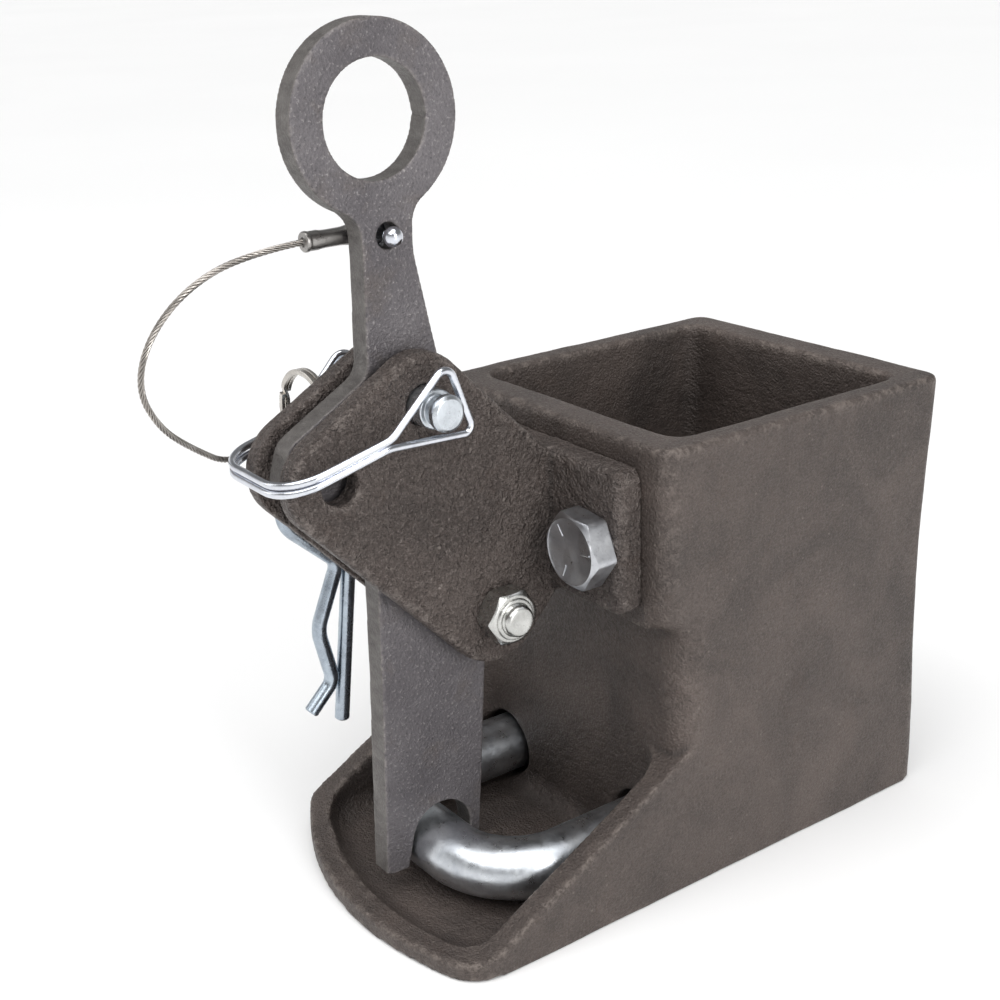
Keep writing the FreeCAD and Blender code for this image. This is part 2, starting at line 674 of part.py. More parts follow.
def lanyard_cable():
    """Steel cable along its hand-set route, printed with its radii and volume."""
    points = [vec(*place) for place in CABLE_ROUTE]
    radii = [0.0]
    for index in range(1, len(points) - 1):
        back = points[index - 1] - points[index]
        ahead = points[index + 1] - points[index]
        half_turn = (math.pi - back.getAngle(ahead)) / 2
        radii.append(0.45 * min(back.Length, ahead.Length) / math.tan(half_turn))
    radii.append(0.0)
    tube, path = bent_bar(points, radii, CABLE_RADIUS)
    print("cable radii", [round(radius, 1) for radius in radii[1:-1]])
    ideal = math.pi * CABLE_RADIUS**2 * path.Length
    print("cable length", round(path.Length, 1))
    print("cable volume", round(tube.Volume, 1), "ideal", round(ideal, 1))
    return tube


def cable_end_direction():
    return (vec(*CABLE_ROUTE[-1]) - vec(*CABLE_ROUTE[-2])).normalize()


def lanyard_ferrule():
    barrel = Part.makeCylinder(FERRULE_RADIUS, FERRULE_LENGTH, vec(*CABLE_ROUTE[-1]), cable_end_direction())
    return barrel.makeFillet(SMALL_EDGE_RADIUS, barrel.Edges)


def lanyard_eye():
    """The cable's end loop, which leaves the ferrule and runs round the split ring's band."""
    direction = cable_end_direction()
    reach = FERRULE_LENGTH + EYE_RADIUS - CABLE_RADIUS / 2
    centre = vec(*CABLE_ROUTE[-1]) + direction * reach
    along_band = Y_AXIS.cross(centre - split_ring_centre())
    normal = along_band - direction * along_band.dot(direction)
    eye = Part.makeTorus(EYE_RADIUS, CABLE_RADIUS, centre, normal)
    return eye.cut(lanyard_ferrule())


BUILDERS = {
    "coupler_housing": coupler_housing,
    "handle_bracket": handle_bracket,
    "bracket_bolt_left": lambda: bracket_bolt(-1),
    "bracket_bolt_right": lambda: bracket_bolt(1),
    "pivot_bolt": pivot_bolt,
    "pivot_nut": pivot_nut,
    "pivot_bushing": pivot_bushing,
    "thrust_washer_left": lambda: thrust_washer(-1),
    "thrust_washer_right": lambda: thrust_washer(1),
    "release_handle": release_handle,
    "locking_yoke": locking_yoke,
    "lock_pin": lock_pin,
    "lock_pin_wire": lock_pin_wire,
    "split_ring": split_ring,
    "hairpin_clip": hairpin_clip,
    "lanyard_ball_stud": lanyard_ball_stud,
    "lanyard_sleeve": lanyard_sleeve,
    "lanyard_cable": lanyard_cable,
    "lanyard_ferrule": lanyard_ferrule,
    "lanyard_eye": lanyard_eye,
}

os.makedirs("parts", exist_ok=True)
for node, build in BUILDERS.items():
    shape = build()
    size = shape.BoundBox
    print(node, "valid", shape.isValid(), "solids", len(shape.Solids), "volume", round(shape.Volume, 1))
    print("    x", round(size.XMin, 1), round(size.XMax, 1))
    print("    y", round(size.YMin, 1), round(size.YMax, 1))
    print("    z", round(size.ZMin, 1), round(size.ZMax, 1))
    shape.exportStep("parts/" + node + ".step")
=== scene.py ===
import math

import bmesh
import bpy
import numpy as np
from mathutils import Matrix, Vector, noise
from mathutils.bvhtree import BVHTree


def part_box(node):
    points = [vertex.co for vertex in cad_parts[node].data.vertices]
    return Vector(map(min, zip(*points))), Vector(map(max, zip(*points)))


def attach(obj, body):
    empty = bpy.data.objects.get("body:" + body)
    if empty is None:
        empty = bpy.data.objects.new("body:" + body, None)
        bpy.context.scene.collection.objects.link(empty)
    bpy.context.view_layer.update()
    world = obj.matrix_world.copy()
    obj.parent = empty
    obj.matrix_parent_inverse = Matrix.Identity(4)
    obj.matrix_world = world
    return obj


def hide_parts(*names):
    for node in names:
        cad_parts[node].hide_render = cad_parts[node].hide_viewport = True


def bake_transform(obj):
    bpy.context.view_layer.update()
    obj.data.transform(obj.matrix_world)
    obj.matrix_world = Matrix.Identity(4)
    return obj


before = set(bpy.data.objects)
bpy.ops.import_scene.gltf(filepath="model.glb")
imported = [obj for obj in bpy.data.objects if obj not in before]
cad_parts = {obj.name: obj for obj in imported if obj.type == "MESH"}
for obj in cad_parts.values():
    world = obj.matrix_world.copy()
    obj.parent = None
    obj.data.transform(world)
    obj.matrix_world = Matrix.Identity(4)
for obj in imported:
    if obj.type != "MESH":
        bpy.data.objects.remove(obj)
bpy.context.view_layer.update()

MM = 0.001
X_AXIS = Vector((1, 0, 0))
Y_AXIS = Vector((0, 1, 0))
Z_AXIS = Vector((0, 0, 1))

# Camera: where it looks from, in degrees, and what it looks at, in metres
CAMERA_AZIMUTH = 55.79
CAMERA_ELEVATION = 21.65
CAMERA_ROLL = -2.53
CAMERA_TARGET = Vector((-0.14876, 0, 0.0544))
CAMERA_DISTANCE = 0.70754
CAMERA_LENS = 55.74
CAMERA_SHIFT = (0.0396, 0.0344)

# Handle, pin and pivot places, in millimetres as (y, z)
PIVOT = (-97.0, 102.0)
PIN_HOLE = (-122.2, 178.3)
TETHER_HOLE = (-125.2, 229.0)
RING_CENTRE = (-127.2, 262.8)
RING_INNER = 17.4
RING_OUTER = 28.4
EAR_OUTER_X = 14.9

# Steel lanyard: its route, in metres
CABLE_RADIUS = 0.001
CABLE_ROUTE = [
    (-0.0090, -0.1470, 0.2284),
    (-0.0098, -0.1660, 0.2274),
    (-0.0112, -0.1848, 0.2204),
    (-0.0128, -0.1978, 0.2072),
    (-0.0148, -0.2018, 0.1925),
    (-0.0186, -0.1948, 0.1787),
    (-0.0244, -0.1830, 0.1684),
    (-0.0332, -0.1653, 0.1563),
    (-0.0388, -0.1505, 0.1580),
]


# ---------------------------------------------------------------- mesh making


def at(x, y, z):
    """A place given in millimetres."""
    return Vector((x, y, z)) * MM


def new_mesh(name, points, faces):
    mesh = bpy.data.meshes.new(name)
    mesh.from_pydata([tuple(point) for point in points], [], faces)
    shell = bmesh.new()
    shell.from_mesh(mesh)
    bmesh.ops.recalc_face_normals(shell, faces=shell.faces)
    shell.to_mesh(mesh)
    shell.free()
    mesh.shade_smooth()
    mesh.set_sharp_from_angle(angle=math.radians(38))
    return mesh


def skin(rings, loop=False):
    """Points and faces of a surface through successive rings, with its ends capped unless it is a loop."""
    sides = len(rings[0])
    points = [point for ring in rings for point in ring]
    faces = []
    spans = len(rings) if loop else len(rings) - 1
    for row in range(spans):
        low = row * sides
        high = (row + 1) % len(rings) * sides
        for side in range(sides):
            after = (side + 1) % sides
            faces.append((low + side, low + after, high + after, high + side))
    if not loop:
        faces.append(tuple(reversed(range(sides))))
        faces.append(tuple(range(len(points) - sides, len(points))))
    return points, faces


def joined(parts):
    """Several (points, faces) pairs as one."""
    points, faces = [], []
    for part_points, part_faces in parts:
        start = len(points)
        points += part_points
        faces += [tuple(start + corner for corner in face) for face in part_faces]
    return points, faces


def rounded_line(points, radii, step=math.radians(6)):
    """Straight runs joined by tangent arcs, as a list of points."""
    line = [points[0]]
    for before, corner, after, radius in zip(points, points[1:], points[2:], radii[1:]):
        back = (before - corner).normalized()
        ahead = (after - corner).normalized()
        turn = math.pi - back.angle(ahead)
        if radius <= 0 or turn < 1e-4:
            line.append(corner)
            continue
        bisector = (back + ahead).normalized()
        centre = corner + bisector * (radius / math.cos(turn / 2))
        spoke = corner + back * (radius * math.tan(turn / 2)) - centre
        axis = spoke.cross(-back)
        count = max(2, math.ceil(turn / step))
        for index in range(count + 1):
            line.append(centre + Matrix.Rotation(turn * index / count, 3, axis) @ spoke)
    line.append(points[-1])
    return line


def divided(line, longest):
    """The same line with its long runs divided."""
    result = [line[0]]
    for start, end in zip(line, line[1:]):
        count = max(1, math.ceil((end - start).length / longest))
        result += [start.lerp(end, index / count) for index in range(1, count + 1)]
    return result


def directions(line, loop=False):
    """Unit tangents along a line of points."""
    count = len(line)
    found = []
    for index in range(count):
        before = line[(index - 1) % count] if loop or index > 0 else line[0]
        after = line[(index + 1) % count] if loop or index < count - 1 else line[-1]
        found.append((after - before).normalized())
    return found


def frames(line, first_side):
    """(tangent, side, other side) at each point, turning as little as possible."""
    result = []
    side = first_side
    for tangent in directions(line):
        side = (side - tangent * side.dot(tangent)).normalized()
        result.append((tangent, side, tangent.cross(side)))
    return result


def sweep(line, radius, sides, chamfer=0.0, shape=None):
    """Bar along a line, with chamfered ends; shape gives (side, other side) scales for a direction."""
    guess = X_AXIS if abs(directions(line)[0].x) < 0.9 else Z_AXIS
    rings = []
    last = len(line) - 1
    for index, (point, (tangent, side, other)) in enumerate(zip(line, frames(line, guess))):
        wide, high = shape(tangent) if shape else (1.0, 1.0)
        ring = []
        for step in range(sides):
            angle = 2 * math.pi * step / sides
            ring.append((side * math.cos(angle) * wide + other * math.sin(angle) * high) * radius)
        outward = -1 if index == 0 else 1
        if chamfer and index in (0, last):
            share = 1 - chamfer / radius
            inner = [point + offset * share for offset in ring]
            outer = [point + offset - tangent * outward * chamfer for offset in ring]
            rings += [inner, outer] if index == 0 else [outer, inner]
        else:
            rings.append([point + offset for offset in ring])
    return skin(rings)


def turned(origin, axis, profile, sides=48, wave=None):
    """Turned part from (distance along the axis, radius) pairs.

    wave scales the radius by the angle and the distance.
    """
    guess = Z_AXIS if abs(axis.z) < 0.9 else X_AXIS
    side = (guess - axis * guess.dot(axis)).normalized()
    other = axis.cross(side)
    rings = []
    for along, radius in profile:
        ring = []
        for step in range(sides):
            angle = 2 * math.pi * step / sides
            scale = wave(angle, along) if wave else 1.0
            reach = (side * math.cos(angle) + other * math.sin(angle)) * radius * scale
            ring.append(origin + axis * along + reach)
        rings.append(ring)
    return skin(rings)


def soft_profile(corners, radius, steps=3):
    """Profile corners, all but the first and last of them rounded."""
    flat = [Vector((along, reach, 0)) for along, reach in corners]
    radii = [radius] * len(flat)
    for index in range(1, len(flat) - 1):
        shorter = min((flat[index] - flat[index - 1]).length, (flat[index + 1] - flat[index]).length)
        radii[index] = min(radius, 0.45 * shorter)
    line = rounded_line(flat, radii, math.radians(90 / steps))
    return [(point.x, point.y) for point in line]


def thread(start, end, radius, pitch):
    """Profile of a screw thread as a run of rings."""
    depth = 0.55 * pitch
    count = int((end - start) / pitch)
    profile = []
    for turn in range(count):
        along = start + turn * pitch
        profile += [(along, radius), (along + 0.12 * pitch, radius), (along + 0.5 * pitch, radius - depth),
                    (along + 0.62 * pitch, radius - depth)]
    return profile + [(start + count * pitch, radius)]


def hexagon_radius(angle, across_flats):
    """Reach of a hexagon with slightly blunted corners."""
    sector = math.radians(60)
    off_flat = (angle + sector / 2) % sector - sector / 2
    return min(across_flats / 2 / math.cos(off_flat), across_flats / 2 * 1.135)


def hex_head(origin, axis, across_flats, height, face_radius, turn, both_ends=False, bore=0.0):
    """Forged hexagon whose chamfer cuts its corners in curves, with a dished face."""
    sides = 96
    guess = Z_AXIS if abs(axis.z) < 0.9 else X_AXIS
    side = (guess - axis * guess.dot(axis)).normalized()
    other = axis.cross(side)
    slope = math.tan(math.radians(30))
    edge = 0.012 * across_flats
    washer_high = 0.035 * across_flats
    under_head = 0.037 * across_flats

    def ring(place):
        points = []
        for step in range(sides):
            angle = 2 * math.pi * step / sides
            along, reach = place(hexagon_radius(angle, across_flats))
            direction = side * math.cos(angle + turn) + other * math.sin(angle + turn)
            points.append(origin + axis * along + direction * reach)
        return points

    def drop(reach):
        return max(0.0, reach - face_radius) * slope

    rings = []
    if bore:
        rings.append(ring(lambda reach: (0.0, bore)))
    if both_ends:
        rings.append(ring(lambda reach: (0.0, face_radius)))
        rings.append(ring(lambda reach: (drop(reach), reach - edge)))
        rings.append(ring(lambda reach: (drop(reach) + edge, reach)))
    else:
        rings.append(ring(lambda reach: (0.0, 0.93 * across_flats / 2)))
        rings.append(ring(lambda reach: (washer_high, 0.95 * across_flats / 2)))
        rings.append(ring(lambda reach: (under_head, reach - edge)))
        rings.append(ring(lambda reach: (under_head + edge, reach)))
    rings.append(ring(lambda reach: (height - drop(reach) - edge, reach)))
    rings.append(ring(lambda reach: (height - drop(reach), reach - edge)))
    rings.append(ring(lambda reach: (height - 0.4 * edge, face_radius + 0.5 * edge)))
    rings.append(ring(lambda reach: (height, face_radius - edge)))
    if bore:
        rings.append(ring(lambda reach: (height, bore)))
        return skin(rings, loop=True)
    rings.append(ring(lambda reach: (height - 0.25 * MM, face_radius * 0.93)))
    rings.append(ring(lambda reach: (height - 0.32 * MM, face_radius * 0.3)))
    return skin(rings)


def raised_bar(centre, along, across, up, length, width, height):
    """Small raised mark with sloping sides."""
    rings = []
    for level, share in ((-0.2, 1.0), (0.7, 0.8), (1.0, 0.45)):
        ring = []
        for end, flank in ((-1, -1), (1, -1), (1, 1), (-1, 1)):
            reach = along * (end * length / 2) + across * (flank * width / 2 * share)
            ring.append(centre + reach + up * (level * height))
        rings.append(ring)
    return skin(rings)


def numpy_points(mesh):
    flat = np.empty(len(mesh.vertices) * 3)
    mesh.vertices.foreach_get("co", flat)
    return flat.reshape(-1, 3)


def numpy_normals(mesh):
    flat = np.empty(len(mesh.vertices) * 3)
    mesh.vertex_normals.foreach_get("vector", flat)
    return flat.reshape(-1, 3)


def neighbour_mean(mesh):
    """A function that gives each vertex the mean of its neighbours' values."""
    flat = np.empty(len(mesh.edges) * 2, np.int64)
    mesh.edges.foreach_get("vertices", flat)
    start, end = flat.reshape(-1, 2).T
    count = len(mesh.vertices)
    share = np.maximum(np.bincount(start, minlength=count) + np.bincount(end, minlength=count), 1)

    def mean(values):
        columns = []
        for column in values.T:
            total = np.bincount(start, column[end], count) + np.bincount(end, column[start], count)
            columns.append(total / share)
        return np.stack(columns, 1)

    return mean


def smoothed(points, mean, rounds):
    for _ in range(rounds):
        points = points + 0.6 * (mean(points) - points)
    return points


def dense_copy(node, name, voxel, rounds):
    """Even, closed mesh of a CAD node, drawn back to its surface, with its corners softened."""
    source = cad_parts[node]
    mesh = source.data.copy()
    shell = bmesh.new()
    shell.from_mesh(mesh)
    bmesh.ops.remove_doubles(shell, verts=shell.verts, dist=1e-6)
    surface = BVHTree.FromBMesh(shell)
    shell.to_mesh(mesh)
    shell.free()
    helper = bpy.data.objects.new("helper", mesh)
    bpy.context.scene.collection.objects.link(helper)
    remesh = helper.modifiers.new("Remesh", "REMESH")
    remesh.mode = "VOXEL"
    remesh.voxel_size = voxel
    graph = bpy.context.evaluated_depsgraph_get()
    dense = bpy.data.meshes.new_from_object(helper.evaluated_get(graph))
    bpy.data.objects.remove(helper)
    dense.name = name
    dense.materials.clear()
    drawn = np.array([surface.find_nearest(Vector(point))[0] for point in numpy_points(dense)])
    dense.vertices.foreach_set("co", smoothed(drawn, neighbour_mean(dense), rounds).ravel())
    dense.update()
    dense.shade_smooth()
    return dense


def push(mesh, amounts):
    """Moves each vertex along its normal."""
    points = numpy_points(mesh) + numpy_normals(mesh) * amounts[:, None]
    mesh.vertices.foreach_set("co", points.ravel())
    mesh.update()


def uneven(mesh, size, depth, seed, octaves=3):
    """Noise for each vertex, with features of a size and a depth in metres."""
    offset = Vector((seed * 7.3, seed * 3.1, seed * 5.7))
    values = [noise.fractal(Vector(point) / size + offset, 0.9, 2.0, octaves) for point in numpy_points(mesh)]
    return np.array(values) * depth


def keep_inside(mesh, node):
    """Holds a mesh within the box of its CAD node."""
    low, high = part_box(node)
    points = np.clip(numpy_points(mesh), np.array(low), np.array(high))
    mesh.vertices.foreach_set("co", points.ravel())
    mesh.update()


def mark_edges(mesh, reach, full):
    """Stores how far each vertex stands proud, as edge, and how far it is sunk, as hollow."""
    points = numpy_points(mesh)
    mean = neighbour_mean(mesh)
    proud = np.einsum("ij,ij->i", points - smoothed(points, mean, reach), numpy_normals(mesh))
    for label, values in (("edge", proud), ("hollow", -proud)):
        attribute = mesh.attributes.new(label, "FLOAT", "POINT")
        attribute.data.foreach_set("value", np.clip(values / full, 0, 1).astype(np.float32))


def add_piece(name, mesh, body, material, nodes=()):
    """Puts a finished mesh on its body in place of the CAD nodes that it stands for."""
    piece = bpy.data.objects.new(name, mesh)
    bpy.context.scene.collection.objects.link(piece)
    mesh.materials.append(material)
    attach(piece, body)
    if nodes:
        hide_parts(*nodes)
    return piece


# ------------------------------------------------------------------ materials


class Finish:
    """A node material on the Principled shader, with short calls for its nodes."""

    def __init__(self, name):
        self.material = bpy.data.materials.new(name)
        self.material.use_nodes = True
        self.tree = self.material.node_tree
        self.shader = self.tree.nodes["Principled BSDF"]
        self.place = self.tree.nodes.new("ShaderNodeTexCoord").outputs["Object"]

    def node(self, kind, settings=None, **sockets):
        made = self.tree.nodes.new("ShaderNode" + kind)
        for label, value in (settings or {}).items():
            setattr(made, label, value)
        for label, value in sockets.items():
            self.put(value, made.inputs[label.replace("_", " ")])
        return made

    def put(self, value, socket):
        if isinstance(value, bpy.types.NodeSocket):
            self.tree.links.new(value, socket)
        else:
            socket.default_value = value

    def noise(self, size, detail=3.0, roughness=0.5, stretch=None, distortion=0.0):
        """Noise whose features have a size in metres."""
        place = self.place
        if stretch:
            place = self.node("Mapping", Vector=place, Scale=stretch).outputs["Vector"]
        made = self.node("TexNoise", Vector=place, Scale=1 / size, Detail=detail, Roughness=roughness,
                         Distortion=distortion)
        return made.outputs["Fac"]

    def cells(self, size, feature="F1"):
        made = self.node("TexVoronoi", {"feature": feature}, Vector=self.place, Scale=1 / size)
        return made.outputs["Distance"]

    def attribute(self, label):
        return self.node("Attribute", {"attribute_name": label}).outputs["Fac"]

    def between(self, value, low, high, out_low=0.0, out_high=1.0):
        """Value stretched from low..high to out_low..out_high and clamped."""
        made = self.node("MapRange", Value=value)
        limits = {"From Min": low, "From Max": high, "To Min": out_low, "To Max": out_high}
        for label, number in limits.items():
            made.inputs[label].default_value = number
        return made.outputs["Result"]

    def times(self, first, second):
        made = self.tree.nodes.new("ShaderNodeMath")
        made.operation = "MULTIPLY"
        self.put(first, made.inputs[0])
        self.put(second, made.inputs[1])
        return made.outputs["Value"]

    def mix(self, share, first, second):
        made = self.tree.nodes.new("ShaderNodeMix")
        made.data_type = "RGBA"
        self.put(share, made.inputs["Factor"])
        for value, socket in ((first, made.inputs[6]), (second, made.inputs[7])):
            self.put(value if isinstance(value, bpy.types.NodeSocket) else (*value, 1.0), socket)
        return made.outputs[2]

    def bump(self, height, distance, strength=1.0, below=None):
        made = self.node("Bump", Height=height, Distance=distance, Strength=strength)
        if below is not None:
            self.put(below, made.inputs["Normal"])
        return made.outputs["Normal"]

    def finish(self, colour, roughness, normal, metallic=0.0):
        self.put(colour, self.shader.inputs["Base Color"])
        self.put(roughness, self.shader.inputs["Roughness"])
        self.put(normal, self.shader.inputs["Normal"])
        self.shader.inputs["Metallic"].default_value = metallic
        return self.material


def cast_finish(name, dark, light, wear_and_glint, grain, relief, speckle):
    """Bare cast iron: stains, sand grain, pits, rubbed edges, painted glints on the grain and painted shade
    in hollows.
    """
    f = Finish(name)
    # tone for painted shade in creases and hollows, also used for dark grain specks
    crease_shade_and_speck = tuple(0.4 * part for part in dark)
    shadow = tuple(0.45 * part for part in dark)
    stain = f.between(f.noise(0.034, 5.0, 0.6, distortion=0.6), 0.34, 0.66)
    colour = f.mix(stain, dark, light)
    rust = f.between(f.noise(0.011, 6.0, 0.7), 0.56, 0.74, 0.0, 0.35)
    colour = f.mix(rust, colour, (dark[0] * 1.25, dark[1] * 1.02, dark[2] * 0.86))
    sand = f.noise(grain, 2.5, 0.62)
    colour = f.mix(f.between(sand, 0.5, 0.72, 0.0, speckle), colour, wear_and_glint)
    # painted highlight: where this fine noise is high the colour is lightened toward the edge tone, standing
    # in for tiny specular glints on the grain
    glints = f.noise(grain * 0.55, 2.0, 0.6)
    colour = f.mix(f.between(glints, 0.58, 0.7, 0.0, speckle * 2.4), colour, wear_and_glint)
    colour = f.mix(f.between(glints, 0.44, 0.3, 0.0, 0.4), colour, crease_shade_and_speck)
    colour = f.mix(f.between(sand, 0.47, 0.3, 0.0, 0.28), colour, shadow)
    chips = f.between(f.noise(grain * 4.0, 5.0, 0.7), 0.46, 0.6)
    edge = f.times(f.attribute("edge"), chips)
    colour = f.mix(f.times(edge, 0.55), colour, wear_and_glint)
    # painted shade: the hollow attribute darkens creases and recesses where shade falls
    colour = f.mix(f.times(f.attribute("hollow"), 0.6), colour, crease_shade_and_speck)
    specks = f.between(f.cells(grain * 6.5), 0.085, 0.04)
    colour = f.mix(f.times(specks, 0.65), colour, wear_and_glint)
    pits = f.between(f.cells(0.0065), 0.03, 0.11)
    normal = f.bump(sand, grain * relief)
    normal = f.bump(f.noise(grain * 3.4, 3.0), grain * relief * 1.1, 0.7, normal)
    normal = f.bump(pits, 0.0003, 0.8, normal)
    roughness = f.between(sand, 0.35, 0.7, 0.6, 0.38)
    return f.finish(colour, roughness, normal, metallic=0.25)


def plate_finish(name):
    """Grey coated plate: fine light speckles, and streaked cut edges."""
    f = Finish(name)
    stain = f.between(f.noise(0.03, 4.0, 0.6), 0.35, 0.65)
    colour = f.mix(stain, (0.088, 0.08, 0.086), (0.128, 0.118, 0.124))
    warm = f.between(f.noise(0.016, 5.0, 0.65), 0.52, 0.7, 0.0, 0.6)
    colour = f.mix(warm, colour, (0.105, 0.088, 0.08))
    grains = f.noise(0.0009, 2.0, 0.6)
    colour = f.mix(f.between(grains, 0.6, 0.72, 0.0, 0.6), colour, (0.3, 0.28, 0.28))
    colour = f.mix(f.between(grains, 0.42, 0.26, 0.0, 0.6), colour, (0.045, 0.043, 0.046))
    dents = f.between(f.cells(0.0042), 0.1, 0.03)
    colour = f.mix(f.times(dents, 0.6), colour, (0.3, 0.29, 0.29))
    facing = f.node("SeparateXYZ", Vector=f.node("NewGeometry").outputs["Normal"]).outputs["X"]
    flank = f.between(f.times(facing, facing), 0.5, 0.12)
    streaks = f.noise(0.0035, 5.0, 0.65, stretch=(0.5, 1.0, 1.0))
    cut = f.mix(f.between(streaks, 0.3, 0.7), (0.07, 0.063, 0.06), (0.15, 0.14, 0.132))
    colour = f.mix(flank, colour, cut)
    chips = f.between(f.noise(0.0018, 4.0, 0.7), 0.4, 0.6)
    colour = f.mix(f.times(f.times(f.attribute("edge"), chips), 0.4), colour, (0.34, 0.31, 0.29))
    normal = f.bump(grains, 0.0006, 0.8)
    normal = f.bump(dents, 0.00015, 0.6, normal)
    normal = f.bump(f.times(streaks, flank), 0.0003, 0.35, normal)
    return f.finish(colour, f.between(grains, 0.3, 0.7, 0.58, 0.42), normal, metallic=0.3)


def plated_finish(name, clean, dull, roughness, scuff_share, grain=0.0016, relief=0.00004):
    """Zinc or nickel plate: cloudy patches, dark spots and rubbed marks."""
    f = Finish(name)
    cloud = f.between(f.noise(0.009, 5.0, 0.65, distortion=0.4), 0.32, 0.68)
    colour = f.mix(cloud, dull, clean)
    spots = f.between(f.noise(grain, 4.0, 0.7), 0.6, 0.74, 0.0, scuff_share)
    colour = f.mix(spots, colour, (dull[0] * 0.35, dull[1] * 0.33, dull[2] * 0.3))
    scuffs = f.between(f.noise(0.004, 6.0, 0.75, stretch=(1.0, 2.4, 2.4)), 0.6, 0.7, 0.0, scuff_share)
    colour = f.mix(scuffs, colour, (0.09, 0.085, 0.08))
    gloss = f.between(f.noise(0.005, 5.0, 0.7), 0.3, 0.7, roughness * 0.75, roughness * 1.3)
    normal = f.bump(f.noise(0.0008, 3.0), relief)
    normal = f.bump(f.noise(0.012, 2.0), relief * 4, 0.5, normal)
    return f.finish(colour, gloss, normal, metallic=1.0)


# the third colour of each is the tone of rubbed edges and of the painted glints
CAST_BODY = cast_finish("cast_body", (0.05, 0.039, 0.0345), (0.092, 0.0715, 0.0625), (0.2, 0.168, 0.148),
                        0.0009, 0.9, 0.14)
CAST_BRACKET = cast_finish("cast_bracket", (0.06, 0.047, 0.042), (0.094, 0.074, 0.066), (0.26, 0.225, 0.205),
                           0.0012, 2.2, 0.2)
HANDLE_PLATE = plate_finish("handle_plate")
ZINC_BAR = plated_finish("zinc_bar", (0.76, 0.79, 0.82), (0.5, 0.53, 0.57), 0.32, 0.4)
ZINC_BOLT = plated_finish("zinc_bolt", (0.62, 0.63, 0.65), (0.42, 0.43, 0.46), 0.33, 0.4)
ZINC_NUT = plated_finish("zinc_nut", (0.66, 0.66, 0.64), (0.42, 0.42, 0.4), 0.26, 0.5)
ZINC_PIN = plated_finish("zinc_pin", (0.66, 0.7, 0.74), (0.44, 0.47, 0.5), 0.3, 0.4)
ZINC_WIRE = plated_finish("zinc_wire", (0.46, 0.52, 0.58), (0.28, 0.32, 0.37), 0.26, 0.3)
BRIGHT_WIRE = plated_finish("bright_wire", (0.74, 0.76, 0.8), (0.58, 0.6, 0.66), 0.16, 0.2)
NICKEL = plated_finish("nickel_band", (0.6, 0.57, 0.53), (0.42, 0.4, 0.37), 0.26, 0.3)
SWAGED = plated_finish("swaged_steel", (0.4, 0.385, 0.37), (0.26, 0.25, 0.24), 0.32, 0.5)
STRAND = plated_finish("strand_steel", (0.46, 0.43, 0.4), (0.3, 0.28, 0.26), 0.3, 0.25, 0.0006)
TURNED_STEEL = plated_finish("turned_steel", (0.55, 0.54, 0.52), (0.4, 0.39, 0.37), 0.3, 0.3)
BRONZE = plated_finish("turned_bronze", (0.6, 0.43, 0.22), (0.42, 0.3, 0.15), 0.34, 0.3)


# --------------------------------------------------------- camera, then cable


def make_camera():
    azimuth, elevation, roll = (math.radians(v) for v in (CAMERA_AZIMUTH, CAMERA_ELEVATION, CAMERA_ROLL))
    level = math.cos(elevation)
    back = Vector((math.sin(azimuth) * level, -math.cos(azimuth) * level, math.sin(elevation)))
    right = (-back).cross(Z_AXIS).normalized()
    up = right.cross(-back)
    rolled_right = right * math.cos(roll) + up * math.sin(roll)
    rolled_up = up * math.cos(roll) - right * math.sin(roll)
    turn = Matrix((rolled_right, rolled_up, back)).transposed().to_4x4()
    data = bpy.data.cameras.new("camera")
    data.sensor_width = 36.0
    data.lens = CAMERA_LENS
    data.shift_x, data.shift_y = CAMERA_SHIFT
    data.clip_start = 0.01
    camera = bpy.data.objects.new("camera", data)
    bpy.context.scene.collection.objects.link(camera)
    camera.matrix_world = Matrix.Translation(CAMERA_TARGET + back * CAMERA_DISTANCE) @ turn
    bpy.context.scene.camera = camera


def route_points(route, resolution):
    """Points of the smooth line that has the route as its control points."""
    data = bpy.data.curves.new("route", "CURVE")
    data.dimensions = "3D"
    data.resolution_u = resolution
    spline = data.splines.new("NURBS")
    spline.points.add(len(route) - 1)
    for point, place in zip(spline.points, route):
        point.co = (*place, 1.0)
    spline.order_u = 3
    spline.use_endpoint_u = True
    helper = bpy.data.objects.new("route", data)
    mesh = bpy.data.meshes.new_from_object(helper)
    points = [vertex.co.copy() for vertex in mesh.vertices]
    bpy.data.objects.remove(helper)
    bpy.data.meshes.remove(mesh)
    return points


def evenly(points, spacing):
    """Points at even steps along a line of points."""
    steps = [(end - start).length for start, end in zip(points, points[1:])]
    reached = np.concatenate([[0.0], np.cumsum(steps)])
    count = max(2, round(reached[-1] / spacing))
    wanted = np.linspace(0, reached[-1], count + 1)
    columns = [np.interp(wanted, reached, [point[axis] for point in points]) for axis in range(3)]
    return [Vector(place) for place in zip(*columns)], float(reached[-1])


def twisted_strands(line, outer_radius, strands, pitch, sides=8):
    """Strands laid round a core along a line."""
    strand_radius = outer_radius * 0.315
    offset = outer_radius - strand_radius
    parts = [sweep(line, outer_radius * 0.4, sides)]
    spacing = (line[1] - line[0]).length
    axes = frames(line, X_AXIS)
    for strand in range(strands):
        path = []
        for index, (point, (_, side, other)) in enumerate(zip(line, axes)):
            angle = 2 * math.pi * (strand / strands + index * spacing / pitch)
            path.append(point + (side * math.cos(angle) + other * math.sin(angle)) * offset)
        parts.append(sweep(path, strand_radius, sides))
    return joined(parts)


FERRULE_RADIUS = 2.3 * MM
FERRULE_LENGTH = 9.0 * MM
EYE_RADIUS = 5.1 * MM
CABLE_PITCH = 11.0 * MM
CABLE_STRANDS = 6


def crimped(low, high, depth):
    """Wave that presses two flats into a sleeve between two distances."""

    def wave(angle, along):
        middle = (low + high) / 2
        inside = max(0.0, 1 - ((along - middle) / (high - low) * 2) ** 4)
        return 1 - depth * inside * math.cos(angle) ** 4

    return wave


